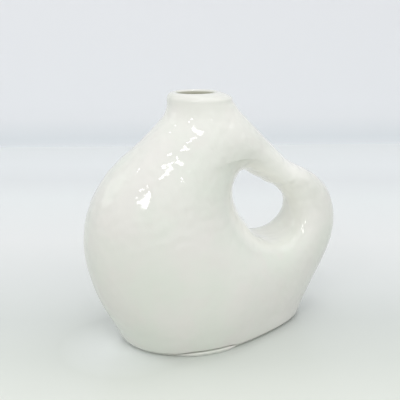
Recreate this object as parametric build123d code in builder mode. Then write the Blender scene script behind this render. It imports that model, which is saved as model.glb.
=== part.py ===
from build123d import *
from math import cos, hypot, radians, sin
import os

# A hollow pillow vase with a loop hole, in glazed ceramic, from the joining of four clay pieces:
# two moulded half shells that meet on the middle plane, a neck collar on the shoulder and a foot slab.
# Sizes are in millimetres. The origin is on the ground under the neck's axis, +Z is up, +X points to
# the side of the loop and -Y is the front.

# The whole vase
vase_height = 180.0
wall = 4.5
joint_clearance = 0.25
overrun = 5.0

# The body is a ring round the loop hole. Its section is an oval on each plane through the hole's
# centre. Each row belongs to one angle, from the loop's side up and round in equal steps, and gives
# the outer edge, the inner edge and the half depth as shares of the three reaches, then the lean of
# the oval towards the hole: below the hole the belly is fullest just under the hole's lip. A smooth
# closed curve runs near the rows. It runs on under the ground, where the flat base cuts it.
# The outer edge's reach turns from outline_reach to the side into outline_rise upward.
outline_reach = 148.0
outline_rise_share = 0.822
hole_reach = 41.0
half_depth = 53.0
ring_shares = [
    (0.48, 0.67, 0.31, 0.00),
    (0.26, 0.37, 0.35, 0.00),
    (0.265, 0.37, 0.40, 0.00),
    (0.33, 0.37, 0.47, 0.00),
    (0.535, 0.665, 0.555, 0.00),
    (0.62, 0.55, 0.695, 0.00),
    (0.885, 0.38, 0.855, 0.00),
    (0.905, 0.375, 0.98, 0.00),
    (0.99, 0.37, 1.01, 0.00),
    (0.985, 0.68, 0.72, 0.45),
    (0.605, 0.92, 0.555, 0.49),
    (0.57, 1.00, 0.44, 0.25),
]

# Half an oval is one curve pulled by six points. With these shares of its half width and half depth
# it is all but a half ellipse. The lean moves the two far points sideways, by this much of the width
# for each whole lean, which carries the curve's deepest point sideways by the lean itself.
oval_near_share = 2 / 3
oval_far_share = 19 / 15
oval_width_share = 4 / 9
oval_lean_share = 8 / 5

# Degrees from one section of the loft to the next
section_step = 15

# The neck stands on the ring's outer edge at this angle, and rises this far above it
neck_angle = 121.6
neck_height = 14.6

# The neck: a round lip over a skirt that widens in ovals into the shoulder. Each row gives the drop
# below the lip band as a share of the skirt's height, the oval's half width as a share of the lip's
# radius, and how far its half depth has gone from the lip's radius to the ring's half depth there.
lip_radius = 22.0
lip_band = 6.0
lip_crown_share = 0.71
lip_crown_drop = 3.5
skirt_height = 28.0
skirt_shares = [
    (0.00, 1.00, 0.00),
    (0.08, 1.01, 0.00),
    (0.25, 1.13, 0.16),
    (0.50, 1.36, 0.40),
    (0.78, 1.60, 0.58),
    (1.00, 1.72, 0.64),
    (1.20, 1.74, 0.64),
]
shoulder_round = 12.0

# The collar: the top of the neck, with a sleeve that sits in a round hole in the shoulder. Its mouth
# was thrown a little to the left of the lip's centre.
collar_height = 15.0
mouth_radius = 13.5
mouth_depth = 12.0
mouth_shift = 1.5
mouth_round_share = 0.17
throat_radius = 15.0
sleeve_wall = 3.0
sleeve_height = 4.0

# The foot slab: the bottom slice of the outer form, set a little to the front left, with a step on
# top that fits inside the walls
foot_edge = 3.0
foot_step = 2.5
foot_shift_x = 0.8
foot_shift_y = 1.4
edge_round = 0.7

outline_rise = vase_height * outline_rise_share
collar_seat = vase_height - collar_height
sleeve_radius = throat_radius + sleeve_wall

# The lip's two rounds are shares of its wall where it is thinnest
lip_wall = lip_radius - mouth_radius - mouth_shift
lip_crown_width = lip_wall * lip_crown_share
mouth_round = lip_wall * mouth_round_share


def half_section(plane, front):
    """A face on the plane, between its front curve and straight sides a little past the middle plane."""
    back = Vector(0, overrun)
    with BuildSketch(plane) as section:
        with BuildLine():
            add(front)
            Polyline(front @ 1, (front @ 1) + back, (front @ 0) + back, front @ 0)
        make_face()
    return section.sketch


def leaning_oval(centre, half_width, depth, lean):
    """The front half of a ring oval. Its deepest point lies off its centre, to the -X side of its
    plane, by the lean as a share of its half width."""
    near_pull = -depth * oval_near_share
    far_pull = -depth * oval_far_share
    far_width = half_width * oval_width_share
    far_middle = centre - half_width * lean * oval_lean_share
    return Bezier(
        (centre - half_width, 0),
        (centre - half_width, near_pull),
        (far_middle - far_width, far_pull),
        (far_middle + far_width, far_pull),
        (centre + half_width, near_pull),
        (centre + half_width, 0),
    )


def ring_edges(angle):
    """Outer edge, inner edge, half depth and lean at one angle, blended from the four rows near it."""
    row, part = divmod(angle * len(ring_shares) / 360, 1)
    pulls = [
        (1 - part) ** 3 / 6,
        (3 * part**3 - 6 * part**2 + 4) / 6,
        (3 * part + 3 * part**2 - 3 * part**3 + 1) / 6,
        part**3 / 6,
    ]
    blend = [0, 0, 0, 0]
    for offset, pull in enumerate(pulls):
        shares = ring_shares[(int(row) + offset - 1) % len(ring_shares)]
        blend = [total + pull * share for total, share in zip(blend, shares)]
    turn = radians(angle)
    across = outline_rise * cos(turn)
    up = outline_reach * sin(turn)
    reach = outline_reach * outline_rise / hypot(across, up)
    return reach * blend[0], hole_reach * blend[1], half_depth * blend[2], blend[3]


# The neck's axis is x = 0, so the ring hangs from it
neck_reach, _, neck_depth, _ = ring_edges(neck_angle)
hole_centre_x = -neck_reach * cos(radians(neck_angle))
hole_centre_z = vase_height - neck_height - neck_reach * sin(radians(neck_angle))


def ring_plane(angle):
    """The plane through the hole's centre at one angle, its X pointing outward and its Y along +Y."""
    turn = radians(angle)
    return Plane(
        origin=(hole_centre_x, 0, hole_centre_z),
        x_dir=(cos(turn), 0, sin(turn)),
        z_dir=(-sin(turn), 0, cos(turn)),
    )


def ring_sections(first_angle, last_angle, inset):
    """The ring's front half ovals from one angle to another, each moved in by the inset."""
    ovals = []
    for angle in range(first_angle, last_angle + section_step, section_step):
        outer_edge, inner_edge, depth, lean = ring_edges(angle)
        middle = (outer_edge + inner_edge) / 2
        half_width = (outer_edge - inner_edge) / 2 - inset
        front = leaning_oval(middle, half_width, depth - inset, lean)
        ovals.append(half_section(ring_plane(angle), front))
    return ovals


def ring_form(inset):
    """The ring's front half, lofted as an upper and a lower stretch that meet on one plane."""
    overlap = 2 * section_step
    with BuildPart() as upper:
        loft(ring_sections(-overlap, 180 + overlap, inset))
        split(bisect_by=Plane.XY.offset(hole_centre_z), keep=Keep.TOP)
    with BuildPart() as lower:
        loft(ring_sections(180 - overlap, 360 + overlap, inset))
        split(bisect_by=Plane.XY.offset(hole_centre_z), keep=Keep.BOTTOM)
    with BuildPart() as ring:
        add(upper.part)
        add(lower.part)
        split(bisect_by=Plane.XZ, keep=Keep.TOP)
    return ring.part


def turned(radius, low, high):
    """A round core on the mouth's axis, from one height to another."""
    with BuildPart() as core:
        with BuildSketch(Plane.XY.offset(low)):
            with Locations((-mouth_shift, 0)):
                Circle(radius)
        extrude(amount=high - low)
    return core.part


def skirt_sections():
    """The neck's front half ovals under the lip, from the top one down."""
    ovals = []
    for drop_share, width_share, depth_share in skirt_shares:
        depth = lip_radius + (neck_depth - lip_radius) * depth_share
        front = EllipticalCenterArc(
            (0, 0), lip_radius * width_share, depth, start_angle=180, arc_size=180
        )
        height = vase_height - lip_band - skirt_height * drop_share
        ovals.append(half_section(Plane.XY.offset(height), front))
    return ovals


# The front half of the neck
with BuildPart() as neck_form:
    with BuildSketch(Plane.XZ):
        with BuildLine():
            crown = EllipticalCenterArc(
                (lip_radius - lip_crown_width, vase_height - lip_crown_drop),
                lip_crown_width,
                lip_crown_drop,
                arc_size=90,
            )
            Polyline(
                crown @ 0,
                (lip_radius, vase_height - lip_band),
                (0, vase_height - lip_band),
                (0, vase_height),
                crown @ 1,
            )
        make_face()
    revolve(axis=Axis.Z, revolution_arc=-180)
    loft(skirt_sections())
    split(bisect_by=Plane.XZ, keep=Keep.TOP)

# The front half of the outer form: the ring and the neck, eased into each other and cut off flat
with BuildPart() as front_form:
    add(ring_form(0))
    add(neck_form.part)
    fillet(front_form.edges(Select.NEW).filter_by(GeomType.BSPLINE), shoulder_round)
    split(bisect_by=Plane.XY, keep=Keep.TOP)

# The whole outer form between the foot and the collar, with the edge round above the foot
with BuildPart() as body_form:
    add(front_form.part)
    split(bisect_by=Plane.XY.offset(foot_edge), keep=Keep.TOP)
    split(bisect_by=Plane.XY.offset(collar_seat), keep=Keep.BOTTOM)
    mirror(about=Plane.XZ)
    fillet(body_form.faces().sort_by(Axis.Z)[0].edges(), edge_round)

# Front half shell: the moulded front wall of the body and of the hollow arm
with BuildPart() as front_shell:
    add(body_form.part)
    split(bisect_by=Plane.XZ, keep=Keep.TOP)
    add(ring_form(wall), mode=Mode.SUBTRACT)
    add(
        turned(sleeve_radius + joint_clearance, collar_seat - skirt_height, vase_height),
        mode=Mode.SUBTRACT,
    )
front_shell.part.label = "front_shell"

# Back half shell: the other half of the same mould
with BuildPart() as back_shell:
    mirror(front_shell.part, about=Plane.XZ)
back_shell.part.label = "back_shell"

# Neck collar: lip, mouth and sleeve
with BuildPart() as neck_collar:
    add(front_form.part)
    split(bisect_by=Plane.XY.offset(collar_seat), keep=Keep.TOP)
    mirror(about=Plane.XZ)
    add(turned(sleeve_radius, collar_seat - sleeve_height, collar_seat))
    add(turned(mouth_radius, collar_seat, vase_height), mode=Mode.SUBTRACT)
    top_circles = neck_collar.edges().filter_by(GeomType.CIRCLE).group_by(Axis.Z)[-1]
    fillet(top_circles.sort_by(SortBy.RADIUS)[0], mouth_round)
    add(
        turned(throat_radius, collar_seat - sleeve_height, vase_height - mouth_depth),
        mode=Mode.SUBTRACT,
    )
neck_collar.part.label = "neck_collar"

# Foot slab: the bottom slice, set a little to the front left, and the step that fits inside the walls
with BuildPart() as foot_slice:
    add(front_form.part)
    split(bisect_by=Plane.XY.offset(foot_edge), keep=Keep.BOTTOM)
    mirror(about=Plane.XZ)
with BuildPart() as foot_top:
    add(ring_form(wall + joint_clearance))
    split(bisect_by=Plane.XY.offset(foot_edge), keep=Keep.TOP)
    split(bisect_by=Plane.XY.offset(foot_edge + foot_step), keep=Keep.BOTTOM)
    mirror(about=Plane.XZ)
with BuildPart() as foot_slab:
    with Locations((-foot_shift_x, -foot_shift_y)):
        add(foot_slice.part)
    fillet(foot_slab.edges().filter_by(Plane.XY), edge_round)
    add(foot_top.part)
foot_slab.part.label = "foot_slab"

os.makedirs("parts", exist_ok=True)
export_step(front_shell.part, "parts/front_shell.step")
export_step(back_shell.part, "parts/back_shell.step")
export_step(neck_collar.part, "parts/neck_collar.step")
export_step(foot_slab.part, "parts/foot_slab.step")
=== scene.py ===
import math

import bpy
import numpy as np
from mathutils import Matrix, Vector


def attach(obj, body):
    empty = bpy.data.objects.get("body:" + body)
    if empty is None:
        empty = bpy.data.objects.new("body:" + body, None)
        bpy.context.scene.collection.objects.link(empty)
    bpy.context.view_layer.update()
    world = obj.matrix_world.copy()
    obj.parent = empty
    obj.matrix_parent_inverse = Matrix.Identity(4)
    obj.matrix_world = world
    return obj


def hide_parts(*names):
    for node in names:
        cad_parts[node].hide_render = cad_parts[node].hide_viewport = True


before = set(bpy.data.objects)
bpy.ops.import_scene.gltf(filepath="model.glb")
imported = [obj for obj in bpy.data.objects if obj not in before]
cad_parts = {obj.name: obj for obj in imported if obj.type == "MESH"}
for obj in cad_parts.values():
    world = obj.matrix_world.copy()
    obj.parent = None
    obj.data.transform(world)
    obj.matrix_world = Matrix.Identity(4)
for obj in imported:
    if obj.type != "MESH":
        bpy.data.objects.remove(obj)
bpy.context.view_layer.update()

# Front and back shell: the two halves of the body and of its hollow arm, in white clay, slip cast in
# a two-part mould. They are joined edge to edge on the middle plane and smoothed by hand, so the wall
# waves a little under the glaze.
vase_height = 0.180
wall = 0.0045
seat_height = 0.165
foot_edge = 0.003
edge_round = 0.0018
sleeve_hole = 0.01825
mouth_x = -0.0015
hole_x = 0.0405
hole_z = 0.0995
ring_reach = (0.148, 0.041, 0.053, 1.0)
ring_rows = np.array([
    (0.48, 0.67, 0.31, 0.00),
    (0.26, 0.37, 0.35, 0.00),
    (0.265, 0.37, 0.40, 0.00),
    (0.33, 0.37, 0.47, 0.00),
    (0.535, 0.665, 0.555, 0.00),
    (0.62, 0.55, 0.695, 0.00),
    (0.885, 0.38, 0.855, 0.00),
    (0.905, 0.375, 0.98, 0.00),
    (0.99, 0.37, 1.01, 0.00),
    (0.985, 0.68, 0.72, 0.45),
    (0.605, 0.92, 0.555, 0.49),
    (0.57, 1.00, 0.44, 0.25),
]) * ring_reach
lip_radius = 0.0229
lip_x = -0.0010
lip_shift_low = 0.158
lip_shift_rise = 0.014
skirt_top = 0.180
skirt_drop = 0.034
skirt_lag = 0.007
skirt_spread = 0.0149
skirt_deepening = 0.0049
skirt_end = 0.1404
neck_slant = 0.88
neck_blend = 0.013
tiny = 1e-6


def ease(share):
    """A smooth step from 0 to 1: three times the square of the share, less twice its cube."""
    share = np.clip(share, 0, 1)
    return share * share * (3 - 2 * share)


def ring_at(turn):
    """Outer edge, inner edge, half depth and lean at each angle round the loop hole: a closed uniform
    cubic B-spline that the twelve rows pull on."""
    place = turn / (2 * np.pi) * len(ring_rows) % len(ring_rows)
    row = np.floor(place).astype(int)
    part = (place - row)[..., None]
    pulls = (
        (1 - part) ** 3 / 6,
        (3 * part**3 - 6 * part**2 + 4) / 6,
        (3 * part + 3 * part**2 - 3 * part**3 + 1) / 6,
        part**3 / 6,
    )
    blend = sum(pull * ring_rows[(row + step - 1) % len(ring_rows)] for step, pull in enumerate(pulls))
    return np.moveaxis(blend, -1, 0)


def ring_distance(x, y, z, inset=0.0):
    """How far a point is outside the ring, along the line from the middle of the oval section at its
    angle: the distance from that middle less the oval's radius in that direction. The oval leans
    towards the hole by its half width times the lean, at its full depth, and by less nearer its edges:
    by 16 pull squared, where 10/3 pull and 8/3 pull squared make up the share of the depth."""
    outer, inner, depth, lean = ring_at(np.arctan2(z - hole_z, x - hole_x))
    across = np.hypot(x - hole_x, z - hole_z) - (outer + inner) / 2
    deep = np.abs(y) / (depth - inset)
    pull = (np.sqrt(100 / 9 + 32 / 3 * deep) - 10 / 3) * 3 / 16
    share = np.hypot(across / ((outer - inner) / 2 - inset) + lean * 16 * pull * pull, deep)
    return np.hypot(across, y) * (1 - 1 / np.maximum(share, tiny))


def neck_distance(x, y, z):
    """How far a point is outside the neck: the distance from the axis less the radius of an oval that
    widens downward on a smooth step, a little lower on its left, shortened by the side's slant. It ends
    at the lip and under the shoulder. Near the lip the axis moves a little to the left."""
    x = x - lip_x * ease((z - lip_shift_low) / lip_shift_rise)
    left = (1 - x / np.maximum(np.hypot(x, y), tiny)) / 2
    widen = ease((skirt_top - skirt_lag * left - z) / skirt_drop)
    wide = lip_radius + skirt_spread * widen
    deep = lip_radius + skirt_deepening * widen
    share = np.hypot(x / wide, y / deep)
    side = np.hypot(x, y) * (1 - 1 / np.maximum(share, tiny))
    return np.maximum(side * neck_slant, np.maximum(z - vase_height, skirt_end - z))


def body_distance(x, y, z):
    """The ring and the neck, eased into each other: the smaller distance, less a quarter of the blend
    width times the square of how nearly equal the two are."""
    ring = ring_distance(x, y, z)
    neck = neck_distance(x, y, z)
    near = np.maximum(neck_blend - np.abs(ring - neck), 0) / neck_blend
    return np.minimum(ring, neck) - near * near * neck_blend / 4


def cavity_distance(x, y, z):
    """The hollow: the ring with its section drawn in by the wall."""
    return ring_distance(x, y, z, wall)


halvings = 36
slope_step = 5e-5


def leaving(distance, start, heading, near, far):
    """Where lines from start along heading leave a form: the stretch from near to far is halved, over
    and over, on the side that holds the form's surface."""
    start, heading = np.broadcast_arrays(np.asarray(start, float), np.asarray(heading, float))
    near = np.zeros(start.shape[:-1]) + near
    far = np.zeros(start.shape[:-1]) + far
    for _ in range(halvings):
        middle = (near + far) / 2
        inside = distance(*np.moveaxis(start + heading * middle[..., None], -1, 0)) < 0
        near = np.where(inside, middle, near)
        far = np.where(inside, far, middle)
    return start + heading * ((near + far) / 2)[..., None]


def outward(distance, points):
    """Unit normals: the slope of the distance, from small steps to both sides along each axis."""
    slope = np.stack([
        distance(*np.moveaxis(points + step, -1, 0)) - distance(*np.moveaxis(points - step, -1, 0))
        for step in np.eye(3) * slope_step
    ], axis=-1)
    return slope / np.linalg.norm(slope, axis=-1, keepdims=True)


# The hand's waves: many short ones, lower towards the foot, and a few long ones, each with its length,
# height and heading. All fade out at the foot and the lip.
short_count = 44
short_lengths = (0.0050, 0.012)
short_heights = (0.000013, 0.000032)
long_count = 10
long_lengths = (0.024, 0.060)
long_height = 0.00006
low_share = 0.4
low_end = 0.07
low_fade = 0.04
foot_fade = 0.014
lip_fade = 0.012
lip_fade_end = 0.1745
wave_dice = np.random.default_rng(23)
short_wave_lengths = np.geomspace(*short_lengths, short_count)
wave_length = np.concatenate([short_wave_lengths, np.geomspace(*long_lengths, long_count)])
wave_height = np.concatenate([np.geomspace(*short_heights, short_count), np.full(long_count, long_height)])
wave_heading = wave_dice.normal(size=(len(wave_length), 3))
wave_heading /= np.linalg.norm(wave_heading, axis=1, keepdims=True)
wave_phase = wave_dice.uniform(0, 2 * np.pi, len(wave_length))
wave_margin = 0.0006
# Two places that the thumb pressed flatter and smoother, on the shoulder and on the belly
thumb_presses = ((-0.0152, -0.0225, 0.1630), (-0.0569, -0.0333, 0.1150))
press_width = 0.008
press_depth = 0.00028
press_calm = 0.8
# The seam that the hand left on the middle plane's left edge, deeper here and there
seam_width = 0.0007
seam_depth = 0.00006
seam_beat = 95
seam_start = 0.04


def inward(x, y, z):
    """How far the finished surface lies inside the plain form: a margin less the plane sine waves, plus
    the depth of a press times a bell curve round it, where the waves are calmer, plus the seam's depth
    times a bell curve across it and a sine along it, faded in from its start to twice as far left. All
    of this fades out at the foot and the lip. The round of the shell's edge above the foot is added."""
    phase = np.stack([x, y, z], axis=-1) @ (wave_heading.T * 2 * np.pi / wave_length) + wave_phase
    short = np.sin(phase[..., :short_count]) @ wave_height[:short_count]
    long = np.sin(phase[..., short_count:]) @ wave_height[short_count:]
    waves = short * (low_share + (1 - low_share) * ease((z - low_end) / low_fade)) + long
    fade = ease((z - foot_edge) / foot_fade) * ease((lip_fade_end - z) / lip_fade)
    below = np.clip(1 - (z - foot_edge) / edge_round, 0, 1)
    edge = edge_round * (1 - np.sqrt(1 - below * below))
    seam = np.exp(-((y / seam_width) ** 2)) * np.maximum(np.sin(seam_beat * z), 0)
    seam = seam * ease(-x / seam_start - 1)
    pressed = 0
    for middle_x, middle_y, middle_z in thumb_presses:
        away = (x - middle_x) ** 2 + (y - middle_y) ** 2 + (z - middle_z) ** 2
        pressed = pressed + np.exp(-away / press_width**2)
    waves = waves * (1 - press_calm * pressed)
    return fade * (wave_margin - waves + press_depth * pressed + seam_depth * seam) + edge


def hand_smoothed(x, y, z):
    """The distance from the finished surface."""
    return body_distance(x, y, z) + inward(x, y, z)


def finished(points):
    """Points of the plain form moved in to the finished surface."""
    return points - outward(body_distance, points) * inward(*np.moveaxis(points, -1, 0))[..., None]


left_columns = 136
under_columns = 124
right_columns = 152
under_crowding = 0.9
foot_far = 0.13
foot_deep = 0.07
search_past = 0.02
search_from = 1.2


def spaced(first, last, count, crowd=0.0):
    """Angles from first up to but not including last, crowded to both ends by a cosine share."""
    even = np.arange(count) / count
    return first + (last - first) * ((1 - crowd) * even + crowd * (1 - np.cos(np.pi * even)) / 2)


def around_hole(turn):
    """Unit headings in the middle plane."""
    return np.stack([np.cos(turn), 0 * turn, np.sin(turn)], axis=-1)


def shell_columns(distance, seat_rim):
    """The edge of one wall's surface, column by column round the hole: the rim under the neck, the left
    outline, the foot's edge and the right outline. Returns each column's angle and its edge point."""
    foot = leaving(distance, (0.0, 0, foot_edge), [(-1.0, 0, 0), (1.0, 0, 0)], 0, foot_far)
    foot_turns = np.arctan2(foot[:, 2] - hole_z, foot[:, 0] - hole_x) % (2 * np.pi)
    seat_turns = np.arctan2(seat_rim[:, 2] - hole_z, seat_rim[:, 0] - hole_x)
    left = spaced(seat_turns[-1], foot_turns[0], left_columns)
    under = spaced(foot_turns[0], foot_turns[1], under_columns, under_crowding)
    right = spaced(foot_turns[1], seat_turns[0] + 2 * np.pi, right_columns)
    sides = []
    for turn in (left, right):
        outer, inner = ring_at(turn)[:2]
        centre = (hole_x, 0, hole_z)
        near, far = inner + wall * search_from, outer + search_past
        sides.append(leaving(distance, centre, around_hole(turn), near, far))
    foot_x = hole_x + (foot_edge - hole_z) / np.tan(under)
    foot_start = np.stack([foot_x, 0 * foot_x, 0 * foot_x + foot_edge], axis=-1)
    foot_rim = leaving(distance, foot_start, (0, -1.0, 0), 0, foot_deep)
    turns = np.concatenate([seat_turns[:-1], left, under, right])
    return turns, np.concatenate([seat_rim[:-1], sides[0], foot_rim, sides[1]])


outer_rows = 116
outer_crowding = 0.80
outer_reach = 0.03
inner_rows = 30
inner_reach = 0.004
hole_reach = 0.0035


def shell_surface(distance, turns, edge, shares, reach):
    """A grid from the edge to the loop hole. Each column turns round the middle of its oval section,
    from the edge's angle to the hole's, and each point is where that line leaves the form. It is looked
    for from a quarter of the oval's radius to that radius and an allowance for the neck and the lean."""
    outer, inner, depth, lean = ring_at(turns)
    middle = (outer + inner) / 2
    edge_far = np.hypot(edge[:, 0] - hole_x, edge[:, 2] - hole_z) - middle
    first = np.arctan2(-edge[:, 1], edge_far)
    angle = first + shares[:, None] * (np.pi - first)
    along = around_hole(turns)
    start = np.array([hole_x, 0, hole_z]) + along * middle[:, None]
    heading = np.cos(angle)[..., None] * along + np.sin(angle)[..., None] * np.array([0, -1.0, 0])
    oval = 1 / np.hypot(np.cos(angle) * 2 / (outer - inner), np.sin(angle) / depth)
    allowance = np.where(angle < np.pi / 2, reach, hole_reach)
    allowance = allowance + np.abs(lean) / 2 * oval * np.sin(angle)
    points = leaving(distance, start, heading, oval / 4, oval + allowance)
    points[0] = edge
    points[-1, :, 1] = 0
    return points


# The rims under the neck, from its right side round the front to its left side, looked for between two
# distances from the axis, and the edge of the cavity's roof above them
neck_near = 0.012
neck_far = 0.06
roof_depth = 0.03
rim_steps = 93
rim_turn = np.linspace(0, np.pi, rim_steps)
rim_out = np.stack([np.cos(rim_turn), -np.sin(rim_turn), 0 * rim_turn], axis=-1)
seat_outer = leaving(body_distance, (0.0, 0, seat_height), rim_out, neck_near, neck_far)
seat_inner = rim_out * sleeve_hole + np.array([mouth_x, 0, seat_height])
roof_start = seat_inner - np.array([0, 0, roof_depth])
roof_edge = leaving(cavity_distance, roof_start, (0, 0, 1.0), 0, roof_depth)

even = np.linspace(0, 1, outer_rows)
crowded = even - outer_crowding * np.sin(2 * np.pi * even) / (2 * np.pi)
inner_shares = np.linspace(0, 1, inner_rows)
outer_turns, outer_edge = shell_columns(body_distance, seat_outer)
inner_turns, inner_edge = shell_columns(cavity_distance, roof_edge)
outer_form = shell_surface(body_distance, outer_turns, outer_edge, crowded, outer_reach)
inner_form = shell_surface(cavity_distance, inner_turns, inner_edge, inner_shares, inner_reach)
ledge = (outer_edge + inner_edge) / 2
ledge[: len(seat_inner) - 1] = seat_inner[:-1]

sharp_angle = math.radians(20)
hollow_reach = 0.006


def closed_grid(tall, wide, flip=False):
    """Quads over a grid that closes in both directions, turned over where flip is true."""
    down, over = np.meshgrid(np.arange(tall), np.arange(wide), indexing="ij")
    below, beside = (down + 1) % tall, (over + 1) % wide
    corners = (down * wide + over, down * wide + beside, below * wide + beside, below * wide + over)
    quads = np.stack(corners, axis=-1).reshape(-1, 4)
    return quads[:, ::-1] if flip else quads


def put_mesh(name, points, faces):
    """A smooth mesh object from points and faces, with its sharp edges kept."""
    mesh = bpy.data.meshes.new(name)
    mesh.from_pydata(points.reshape(-1, 3).tolist(), [], faces)
    mesh.polygons.foreach_set("use_smooth", np.ones(len(mesh.polygons), bool))
    mesh.set_sharp_from_angle(angle=sharp_angle)
    piece = bpy.data.objects.new(name, mesh)
    bpy.context.scene.collection.objects.link(piece)
    return piece


def hollowness(points):
    """How hollow the finished surface is at each point, from about -1 on a ridge to 1 in a crease: the
    summed depth of six points around it below the surface, over their reach."""
    steps = np.eye(3) * hollow_reach
    around = [hand_smoothed(*np.moveaxis(points + step, -1, 0)) for step in steps]
    around += [hand_smoothed(*np.moveaxis(points - step, -1, 0)) for step in steps]
    return -sum(around) / hollow_reach


def mark(piece, name, values):
    """A number at each point of the mesh, for its material to read."""
    layer = piece.data.attributes.new(name, "FLOAT", "POINT")
    layer.data.foreach_set("value", np.asarray(values, np.float32).ravel())


# The wet shell sank on the foot slab, except where the slab shows at the front left: how far, how high
# up that is felt, and the middle and half width of that stretch in degrees round the foot
foot_middle = 0.010
sink = 0.0014
sink_reach = 0.012
showing_turn = -115
showing_half = 13
showing_fade = 16


def hidden(x, y):
    """How much of the slab's edge is hidden under the shell, from 0 to 1: a smooth step over the angle
    round the foot, from the end of the showing stretch to where it has faded."""
    away = np.abs((np.degrees(np.arctan2(y, x - foot_middle)) - showing_turn + 180) % 360 - 180)
    return ease((away - showing_half) / showing_fade)


def settled(points):
    """Points lowered where the shell sank, by a share that fades out upward and down to the ground."""
    x, y, z = np.moveaxis(points, -1, 0)
    share = (1 - ease((z - foot_edge) / sink_reach)) * np.clip(z / foot_edge, 0, 1)
    return points - (sink * hidden(x, y) * share)[..., None] * np.array([0, 0, 1])


def half_shell(name, side):
    """One half, in front of the middle plane where side is 1 and behind it where it is -1: the outer
    surface from the hole to its edge, the joint faces, and the cavity's wall back to the hole."""
    over = (1, side, 1)
    outer_surface = finished(outer_form[::-1] * over)
    grid = settled(np.concatenate([outer_surface, ledge[None] * over, inner_form * over]))
    tall, wide = grid.shape[:2]
    piece = put_mesh(name, grid, closed_grid(tall, wide, side < 0).tolist())
    hollow = np.zeros((tall, wide))
    hollow[: len(outer_form)] = hollowness(outer_surface)
    mark(piece, "hollow", hollow)
    return piece


front_shell = half_shell("front_shell_clay", 1)
back_shell = half_shell("back_shell_clay", -1)


def add_node(tree, kind, **values):
    """A node of one kind. Its sockets take the values by name, and its settings the rest."""
    node = tree.nodes.new(kind)
    for key, value in values.items():
        socket = node.inputs.get(key.replace("_", " ").title())
        if socket is not None:
            socket.default_value = value
        else:
            setattr(node, key, value)
    return node


def blend_colours(tree, factor, first, second):
    """A mix of two colours. Each may be a colour or a socket."""
    mix = tree.nodes.new("ShaderNodeMix")
    mix.data_type = "RGBA"
    tree.links.new(factor, mix.inputs[0])
    for place, colour in ((6, first), (7, second)):
        if isinstance(colour, tuple):
            mix.inputs[place].default_value = colour
        else:
            tree.links.new(colour, mix.inputs[place])
    return mix.outputs[2]


def span(tree, socket, low, high, to_low=0.0, to_high=1.0):
    """A number carried from one range to another, and held inside it."""
    node = add_node(tree, "ShaderNodeMapRange", from_min=low, from_max=high, to_min=to_low, to_max=to_high)
    tree.links.new(socket, node.inputs[0])
    return node.outputs[0]


def combine(tree, operation, *sockets):
    """A sum, product or choice of numbers."""
    node = add_node(tree, "ShaderNodeMath", operation=operation)
    for place, socket in enumerate(sockets):
        tree.links.new(socket, node.inputs[place])
    return node.outputs[0]


def noise(tree, place, scale, detail=2.0):
    """Soft noise over the object's own places, about 0.5."""
    node = add_node(tree, "ShaderNodeTexNoise", scale=scale, detail=detail, roughness=0.5)
    tree.links.new(place, node.inputs["Vector"])
    return node.outputs["Fac"]


# White glaze: milky, with clouds of cool and warm tint, greener where it pooled in hollows, warmer where
# it ran thin over edges. Round the loop hole and on the neck under the lip it is painted much paler, as
# painted light that lifts the shade there. Its skin has a faint ripple and a few pinholes, and it stops
# inside the mouth, where the clay is painted dark as painted shade.
cool_white = (0.680, 0.708, 0.644, 1)
warm_white = (0.710, 0.701, 0.663, 1)
cream_white = (0.701, 0.684, 0.646, 1)
pooled_green = (0.653, 0.656, 0.586, 1)
thin_cream = (0.716, 0.688, 0.630, 1)
# Painted light: the pale colour that lifts the shade round the loop hole and on the neck under the lip
painted_light_white = (0.890, 0.885, 0.835, 1)
# Painted shade: the dark olive of the clay inside the mouth
shaded_clay = (0.450, 0.450, 0.360, 1)
cloud_scale = 22.0
cream_scale = 70.0
sheen_scale = 55.0
ripple_scale = 420.0
pinhole_scale = 240.0
pinhole_share = 0.6
sheen_low = 0.05
sheen_high = 0.09
clay_roughness = 0.8
# Painted light: how far round the hole and how high on the neck under the lip the pale colour is laid
hole_light_far = 0.050
hole_light_near = 0.029
neck_light_low = 0.145
neck_light_high = 0.168
neck_light_share = 0.32
lip_plain_low = 0.174
lip_plain_high = 0.178
ripple_strength = 0.04
ripple_depth = 0.0002
glaze_bending = 1.5

glaze_effect = bpy.data.node_groups.new("milky_glaze", "ShaderNodeTree")
for socket_name, direction, socket_kind in (
    ("Cool Tint", "INPUT", "Color"),
    ("Warm Tint", "INPUT", "Color"),
    ("Pinholes", "INPUT", "Float"),
    ("Tint", "OUTPUT", "Color"),
    ("Polish", "OUTPUT", "Float"),
    ("Skin", "OUTPUT", "Float"),
):
    glaze_effect.interface.new_socket(socket_name, in_out=direction, socket_type="NodeSocket" + socket_kind)
given = add_node(glaze_effect, "NodeGroupInput").outputs
place = add_node(glaze_effect, "ShaderNodeTexCoord").outputs["Object"]
hollow = add_node(glaze_effect, "ShaderNodeAttribute", attribute_name="hollow").outputs["Fac"]
unglazed_painted_shade = add_node(glaze_effect, "ShaderNodeAttribute", attribute_name="inside").outputs["Fac"]
coordinates = add_node(glaze_effect, "ShaderNodeSeparateXYZ")
glaze_effect.links.new(place, coordinates.inputs[0])
height = coordinates.outputs["Z"]
from_hole = add_node(glaze_effect, "ShaderNodeVectorMath", operation="DISTANCE")
from_hole.inputs[1].default_value = (hole_x, 0, hole_z)
glaze_effect.links.new(place, from_hole.inputs[0])

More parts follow.
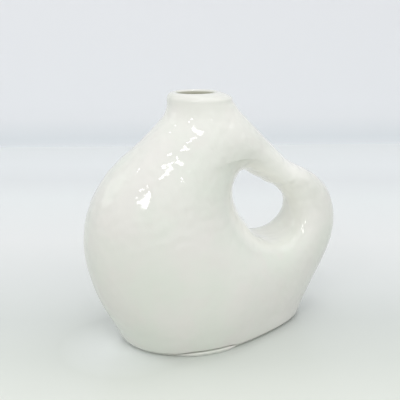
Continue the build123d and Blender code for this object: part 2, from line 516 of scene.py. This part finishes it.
clouds = span(glaze_effect, noise(glaze_effect, place, cloud_scale, 3.0), 0.35, 0.65)
tint = blend_colours(glaze_effect, clouds, given["Cool Tint"], given["Warm Tint"])
cream = span(glaze_effect, noise(glaze_effect, place, cream_scale), 0.52, 0.72, 0.0, 0.5)
tint = blend_colours(glaze_effect, cream, tint, cream_white)
pooled = span(glaze_effect, hollow, 0.05, 0.55, 0.0, 0.30)
tint = blend_colours(glaze_effect, pooled, tint, pooled_green)
thin = span(glaze_effect, hollow, -0.75, -1.6, 0.0, 0.3)
tint = blend_colours(glaze_effect, thin, tint, thin_cream)
# Painted light round the loop hole and on the neck under the lip, where the shade is lifted
hole_painted_light = span(glaze_effect, from_hole.outputs["Value"], hole_light_far, hole_light_near)
neck_painted_light = span(glaze_effect, height, neck_light_low, neck_light_high, 0.0, neck_light_share)
below_lip = span(glaze_effect, height, lip_plain_high, lip_plain_low)
under_lip_painted_light = combine(glaze_effect, "MULTIPLY", neck_painted_light, below_lip)
painted_light_share = combine(glaze_effect, "MAXIMUM", hole_painted_light, under_lip_painted_light)
tint = blend_colours(glaze_effect, painted_light_share, tint, painted_light_white)
# Painted shade inside the mouth, where the glaze stops
tint = blend_colours(glaze_effect, unglazed_painted_shade, tint, shaded_clay)

pits = add_node(glaze_effect, "ShaderNodeTexVoronoi", scale=pinhole_scale)
glaze_effect.links.new(place, pits.inputs["Vector"])
pit = span(glaze_effect, pits.outputs["Distance"], 0.03, 0.12)
ripple = noise(glaze_effect, place, ripple_scale)
skin = combine(glaze_effect, "MULTIPLY_ADD", pit, given["Pinholes"], ripple)
sheen_noise = noise(glaze_effect, place, sheen_scale, 3.0)
sheen = span(glaze_effect, sheen_noise, 0.3, 0.7, sheen_low, sheen_high)
dull = span(glaze_effect, unglazed_painted_shade, 0.0, 1.0, 0.0, clay_roughness)
polish = combine(glaze_effect, "MAXIMUM", sheen, dull)
ends = add_node(glaze_effect, "NodeGroupOutput")
for socket, source in zip(ends.inputs, (tint, polish, skin)):
    glaze_effect.links.new(source, socket)


def glazed(name):
    """A material with the glaze effect on it. Returns the material, its tree, effect and shader."""
    material = bpy.data.materials.new(name)
    material.use_nodes = True
    tree = material.node_tree
    shader = tree.nodes["Principled BSDF"]
    shader.inputs["IOR"].default_value = glaze_bending
    effect = add_node(tree, "ShaderNodeGroup", node_tree=glaze_effect)
    effect.inputs["Cool Tint"].default_value = cool_white
    effect.inputs["Warm Tint"].default_value = warm_white
    effect.inputs["Pinholes"].default_value = pinhole_share
    bump = add_node(tree, "ShaderNodeBump", strength=ripple_strength, distance=ripple_depth)
    tree.links.new(effect.outputs["Tint"], shader.inputs["Base Color"])
    tree.links.new(effect.outputs["Polish"], shader.inputs["Roughness"])
    tree.links.new(effect.outputs["Skin"], bump.inputs["Height"])
    tree.links.new(bump.outputs["Normal"], shader.inputs["Normal"])
    return material, tree, effect, shader


white_glaze = glazed("white_glaze")[0]
for piece, node in ((front_shell, "front_shell"), (back_shell, "back_shell")):
    piece.data.materials.append(white_glaze)
    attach(piece, "root")
    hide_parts(node)

# Neck collar: the top of the neck, thrown on a wheel from the same clay, with a thick round lip. A
# sleeve under it sits in the shoulder's hole, and the joint was smoothed away before glazing.
sleeve_radius = 0.018
sleeve_end = 0.161
throat_radius = 0.015
throat_top = 0.168
mouth_radius = 0.0135
mouth_pull = np.array([-0.0034, 0.0015, 0])
ridge_radius = 0.0156
mouth_round = 0.0030
throat_shoulder = 0.1672
right_sag = 0.0010
back_sag = 0.0005
# Below this height inside the mouth the glaze stops, and the clay is painted dark as painted shade
bare_height = 0.1788
bare_fade = 0.0008
lip_low = 0.1750
lip_turned_from = 0.1705
lip_uneven = 0.0001
neck_steps = 17
lip_steps = 14
bore_steps = 7

collar_turn = np.concatenate([rim_turn[:-1], rim_turn[:-1] + np.pi])
collar_out = np.stack([np.cos(collar_turn), -np.sin(collar_turn), 0 * collar_turn], axis=-1)


def at_height(radius, height, centre=(0, 0, 0)):
    """A round ring of points. Two sine waves round it leave it a little uneven, as a hand does."""
    uneven = lip_uneven * (np.sin(2 * collar_turn + 1.0) + np.sin(3 * collar_turn + 2.0))
    return collar_out * (radius + uneven)[:, None] + np.asarray(centre, float) + np.array([0, 0, height])


lip_centre = np.array([lip_x, 0, 0])
neck_rows = []
for height in np.linspace(seat_height, lip_low, neck_steps):
    row = leaving(body_distance, (0.0, 0, height), collar_out, neck_near, neck_far)
    turned = ease((height - lip_turned_from) / (lip_low - lip_turned_from))
    neck_rows.append(finished(row + (at_height(lip_radius, height, lip_centre) - row) * turned))
quarter = np.linspace(0, np.pi / 2, lip_steps)
lip_rows = []
for turn in quarter[1:]:
    share = 1 - math.cos(turn)
    radius = lip_radius + (ridge_radius - lip_radius) * share
    height = lip_low + (vase_height - lip_low) * math.sin(turn)
    row = at_height(radius, height, lip_centre + (mouth_pull - lip_centre) * share)
    row[:, 2] -= right_sag * math.sin(2 * turn) * (1 + np.cos(collar_turn)) / 2
    row[:, 2] -= back_sag * share * (1 - np.sin(collar_turn)) / 2
    lip_rows.append(row)
for turn in quarter[1:]:
    radius = mouth_radius + (ridge_radius - mouth_radius) * (1 - math.sin(turn))
    row = at_height(radius, vase_height - mouth_round * (1 - math.cos(turn)), mouth_pull)
    row[:, 2] -= back_sag * (1 - np.sin(collar_turn)) / 2
    lip_rows.append(row)
bore_centre = np.array([mouth_x, 0, 0])
bore_rows = []
for share in np.linspace(0, 1, bore_steps)[1:]:
    height = vase_height - mouth_round + (throat_top - vase_height + mouth_round) * share
    bore_rows.append(at_height(mouth_radius, height, mouth_pull + (bore_centre - mouth_pull) * share))
for radius, height in (
    (throat_radius, throat_shoulder),
    (throat_radius, sleeve_end),
    (sleeve_radius, sleeve_end),
    (sleeve_radius, seat_height),
):
    bore_rows.append(at_height(radius, height, bore_centre))
collar_grid = np.stack(neck_rows + lip_rows + bore_rows)
tall, wide = collar_grid.shape[:2]
neck_collar = put_mesh("neck_collar_clay", collar_grid, closed_grid(tall, wide, True).tolist())
hollow = np.zeros((tall, wide))
hollow[: len(neck_rows)] = hollowness(collar_grid[: len(neck_rows)])
hollow[len(neck_rows) :] = -1.0
mark(neck_collar, "hollow", hollow)
# Inside the mouth below the ridge: unglazed clay, painted dark as painted shade
inside = np.zeros((tall, wide))
mouth_start = len(neck_rows) + len(quarter) - 1
inside[mouth_start:] = ease((bare_height - collar_grid[mouth_start:, :, 2]) / bare_fade)
mark(neck_collar, "inside", inside)
neck_collar.data.materials.append(white_glaze)
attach(neck_collar, "root")
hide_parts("neck_collar")

# Foot slab: the flat slice of clay that closes the bottom, set a little to the front left. Its edge is
# glazed with the rest, and its underside was wiped bare to stand in the kiln.
foot_shift = np.array([-0.0008, -0.0014, 0])
foot_step = 0.0025
foot_tuck = 0.0028
roll_round = 0.0012
toe_round = 0.0006
step_gap = 0.00025
step_inset = wall + step_gap
foot_columns = 240
foot_near = 0.02
foot_reach = 0.12
under_shares = (0.15, 0.4, 0.65, 0.85, 0.93, 0.97)
foot_centre = np.array([foot_middle, 0, 0])
step_base = np.array([foot_middle, 0, foot_edge])
step_top = np.array([foot_middle, 0, foot_edge + foot_step])
foot_turn = np.linspace(0, 2 * np.pi, foot_columns, endpoint=False)
foot_out = np.stack([np.cos(foot_turn), np.sin(foot_turn), 0 * foot_turn], axis=-1)


def foot_outline(distance, height):
    """The form's outline at one height, set to the front left."""
    return leaving(distance, (foot_middle, 0, height), foot_out, foot_near, foot_reach) + foot_shift


def step_distance(x, y, z):
    """The slab's step, which fits inside the shell's wall."""
    return ring_distance(x, y, z, step_inset)


side_rows = []
heights = [toe_round * (1 - math.sin(turn)) for turn in quarter[::-2]]
insets = [toe_round * (1 - math.cos(turn)) for turn in quarter[::-2]]
heights += [foot_edge - roll_round * (1 - math.sin(turn)) for turn in quarter[::2]]
insets += [roll_round * (1 - math.cos(turn)) for turn in quarter[::2]]
for height, inset in zip(heights, insets):
    row = foot_outline(body_distance, height)
    flat_out = outward(body_distance, row - foot_shift) * (1, 1, 0)
    tucked = inset + foot_tuck * hidden(row[:, 0], row[:, 1])
    side_rows.append(row - flat_out * tucked[:, None])
under_rows = [(side_rows[0] - foot_centre) * share + foot_centre for share in under_shares]
step_low = leaving(step_distance, step_base, foot_out, foot_near, foot_reach)
step_high = leaving(step_distance, step_top, foot_out, foot_near, foot_reach)
top_rows = [step_low, step_high, (step_high + step_top) / 2]
foot_grid = settled(np.stack(under_rows + side_rows + top_rows))
tall, wide = foot_grid.shape[:2]
over = np.arange(wide)
beside = (over + 1) % wide
last = (tall - 1) * wide
low_pole, high_pole = tall * wide, tall * wide + 1
low_fan = np.stack([0 * over + low_pole, beside, over], axis=-1)
high_fan = np.stack([0 * over + high_pole, last + over, last + beside], axis=-1)
quads = closed_grid(tall, wide)[: (tall - 1) * wide]
faces = quads.tolist() + low_fan.tolist() + high_fan.tolist()
foot_points = np.concatenate([foot_grid.reshape(-1, 3), [foot_centre, step_top]])
foot_slab = put_mesh("foot_slab_clay", foot_points, faces)
bare = np.zeros(len(foot_points))
bare[: (len(under_shares) - 1) * wide] = 1
bare[low_pole] = 1
mark(foot_slab, "bare", bare)
mark(foot_slab, "hollow", bare * 0)

# Foot glaze: the same glaze on the edge, and sandy bare clay where it was wiped off
sandy_clay = (0.66, 0.60, 0.52, 1)
pale_clay = (0.72, 0.67, 0.60, 1)
grain_scale = 900.0

foot_glaze, tree, effect, shader = glazed("foot_glaze")
place = add_node(tree, "ShaderNodeTexCoord").outputs["Object"]
wiped = add_node(tree, "ShaderNodeAttribute", attribute_name="bare").outputs["Fac"]
grain = span(tree, noise(tree, place, grain_scale, 3.0), 0.35, 0.7)
clay = blend_colours(tree, grain, sandy_clay, pale_clay)
tree.links.new(blend_colours(tree, wiped, effect.outputs["Tint"], clay), shader.inputs["Base Color"])
dull = span(tree, wiped, 0.0, 1.0, 0.0, clay_roughness)
rough = combine(tree, "MAXIMUM", effect.outputs["Polish"], dull)
tree.links.new(rough, shader.inputs["Roughness"])
foot_slab.data.materials.append(foot_glaze)
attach(foot_slab, "root")
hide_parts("foot_slab")

# Stage: a pale table whose far edge lies nearly square to the camera, and a pale wall behind it. Neither
# is part of the vase. Both are painted in soft bands across the view, which are painted light and shade,
# and a pale round on the table round the foot is painted light that lifts the contact shadow there.
view_turn = math.radians(25.0)
forward = np.array([math.sin(view_turn), math.cos(view_turn), 0])
sideways = np.array([math.cos(view_turn), -math.sin(view_turn), 0])
table_far = 0.71
table_near = -1.6
stage_half = 3.0
edge_slope = 0.05
wall_gap = 0.004
wall_up = np.array([0, 0, 2.5])
wall_down = np.array([0, 0, 0.5])
table_roughness = 0.35
wall_roughness = 0.9
# Painted light and shade on the table: darker on its near part and in a band behind the vase
table_shade_bands = [
    (0.00, (0.659, 0.685, 0.636)),
    (0.06, (0.618, 0.647, 0.606)),
    (0.14, (0.597, 0.624, 0.598)),
    (0.24, (0.647, 0.668, 0.654)),
    (0.38, (0.720, 0.731, 0.723)),
    (0.58, (0.726, 0.753, 0.749)),
    (0.70, (0.693, 0.715, 0.720)),
    (0.82, (0.740, 0.764, 0.769)),
    (0.98, (0.746, 0.767, 0.767)),
]
table_bands_near = -0.1
table_bands_far = 0.7
# Painted shade on the wall: darker near its foot
wall_shade_bands = [
    (0.0, (0.726, 0.759, 0.783)),
    (0.045, (0.707, 0.739, 0.763)),
    (0.16, (0.775, 0.790, 0.810)),
    (0.24, (0.783, 0.797, 0.818)),
    (0.83, (0.763, 0.771, 0.794)),
]
wall_bands_top = 0.3
# Painted light: a pale round on the table round the foot, lifting the contact shadow there
light_patch_middle = (-0.062, -0.004, 0)
light_patch_reach = 0.048
light_patch_colour = (0.80, 0.83, 0.81, 1)


def stage_sheet(name, corners):
    """One flat sheet beside the vase."""
    mesh = bpy.data.meshes.new(name)
    mesh.from_pydata([tuple(corner) for corner in corners], [], [(0, 1, 2, 3)])
    sheet = bpy.data.objects.new(name, mesh)
    bpy.context.scene.collection.objects.link(sheet)
    return sheet


def banded(sheet, name, along, low, high, bands, roughness, patch=None):
    """Paint in bands of painted light and shade: each is a share of the way from low to high along one
    direction, and a colour. A patch is a round of painted light over them, full within a quarter of its
    reach: its middle, reach and colour."""
    paint = bpy.data.materials.new(name)
    paint.use_nodes = True
    tree = paint.node_tree
    shader = tree.nodes["Principled BSDF"]
    shader.inputs["Roughness"].default_value = roughness
    place = add_node(tree, "ShaderNodeTexCoord").outputs["Object"]
    reach = add_node(tree, "ShaderNodeVectorMath", operation="DOT_PRODUCT")
    reach.inputs[1].default_value = tuple(along)
    tree.links.new(place, reach.inputs[0])
    ramp = add_node(tree, "ShaderNodeValToRGB")
    tree.links.new(span(tree, reach.outputs["Value"], low, high), ramp.inputs["Fac"])
    stops = ramp.color_ramp.elements
    while len(stops) < len(bands):
        stops.new(0.5)
    for stop, (share, colour) in zip(stops, bands):
        stop.position = share
        stop.color = (*colour, 1)
    colour = ramp.outputs["Color"]
    if patch is not None:
        patch_middle, patch_reach, patch_colour = patch
        away = add_node(tree, "ShaderNodeVectorMath", operation="DISTANCE")
        away.inputs[1].default_value = patch_middle
        tree.links.new(place, away.inputs[0])
        share = span(tree, away.outputs["Value"], patch_reach, patch_reach / 4)
        colour = blend_colours(tree, share, colour, patch_colour)
    tree.links.new(colour, shader.inputs["Base Color"])
    sheet.data.materials.append(paint)


table = stage_sheet("table_top", [
    forward * table_near - sideways * stage_half,
    forward * table_near + sideways * stage_half,
    forward * (table_far + edge_slope * stage_half) + sideways * stage_half,
    forward * (table_far - edge_slope * stage_half) - sideways * stage_half,
])
light_patch = (light_patch_middle, light_patch_reach, light_patch_colour)
table_span = (table_bands_near, table_bands_far)
banded(table, "pale_table", forward, *table_span, table_shade_bands, table_roughness, light_patch)
wall_foot = forward * (table_far + wall_gap)
wall_side = (sideways + forward * edge_slope) * stage_half
backdrop = stage_sheet("back_wall", [
    wall_foot - wall_side - wall_down,
    wall_foot + wall_side - wall_down,
    wall_foot + wall_side + wall_up,
    wall_foot - wall_side + wall_up,
])
banded(backdrop, "pale_wall", (0, 0, 1), 0.0, wall_bands_top, wall_shade_bands, wall_roughness)

# Light: a pale room, three large soft lights and small lamps, whose reflections are the glints in the
# glaze. All of them face the middle of the vase.
room_colour = (0.985, 0.99, 1.0, 1)
room_strength = 0.88
light_aim = Vector((0, 0, 0.1))

world = bpy.data.worlds.new("soft_room")
world.use_nodes = True
background = world.node_tree.nodes["Background"]
background.inputs["Color"].default_value = room_colour
background.inputs["Strength"].default_value = room_strength
bpy.context.scene.world = world
bpy.context.scene.view_settings.view_transform = "Standard"


def soft_light(name, place, size, energy, height=None):
    """A square light that faces the vase, or an oblong one where a height is given."""
    data = bpy.data.lights.new(name, "AREA")
    data.energy = energy
    data.size = size
    if height is not None:
        data.shape = "RECTANGLE"
        data.size_y = height
    light = bpy.data.objects.new(name, data)
    light.location = place
    light.rotation_euler = (light.location - light_aim).to_track_quat("Z", "Y").to_euler()
    bpy.context.scene.collection.objects.link(light)


soft_light("soft_top", (0.6, 0, 1.6), 1.6, 5.6)
soft_light("soft_front", (0, -1.5, 0.75), 1.4, 2.4)
soft_light("soft_back_left", (-0.7, 0.45, 0.6), 0.5, 0.6)
soft_light("lamp_high", (-0.567, -0.763, 1.458), 0.18, 0.5, 0.035)
soft_light("lamp_high_right", (-0.401, -0.901, 1.509), 0.56, 2.4, 0.15)
soft_light("lamp_front_left", (-1.012, -1.005, 0.953), 0.22, 1.2, 0.12)
soft_light("lamp_arm", (-1.083, -0.752, 1.245), 0.08, 0.9, 0.24)
soft_light("lamp_left", (-0.943, 0.399, 1.399), 0.12, 0.5, 0.04)
soft_light("lamp_front", (0.078, -1.405, 0.960), 0.015, 0.08)
soft_light("lamp_top", (0.165, -0.03, 1.665), 0.08, 0.9)

# Camera: a small camera in the hand, half a metre in front of the vase and a little above it
camera_reach = 0.5
camera_height = 0.2414
camera_lens = 64.2
film_width = 36
camera_near = 0.01
camera_far = 20
camera_aim = Vector((-0.00064, 0, 0.1012))
camera_data = bpy.data.cameras.new("photo_view")
camera_data.sensor_width = film_width
camera_data.lens = camera_lens
camera_data.clip_start = camera_near
camera_data.clip_end = camera_far
camera = bpy.data.objects.new("photo_view", camera_data)
camera.location = (*(-camera_reach * forward)[:2], camera_height)
camera.rotation_euler = (camera.location - camera_aim).to_track_quat("Z", "Y").to_euler()
bpy.context.scene.collection.objects.link(camera)
bpy.context.scene.camera = camera
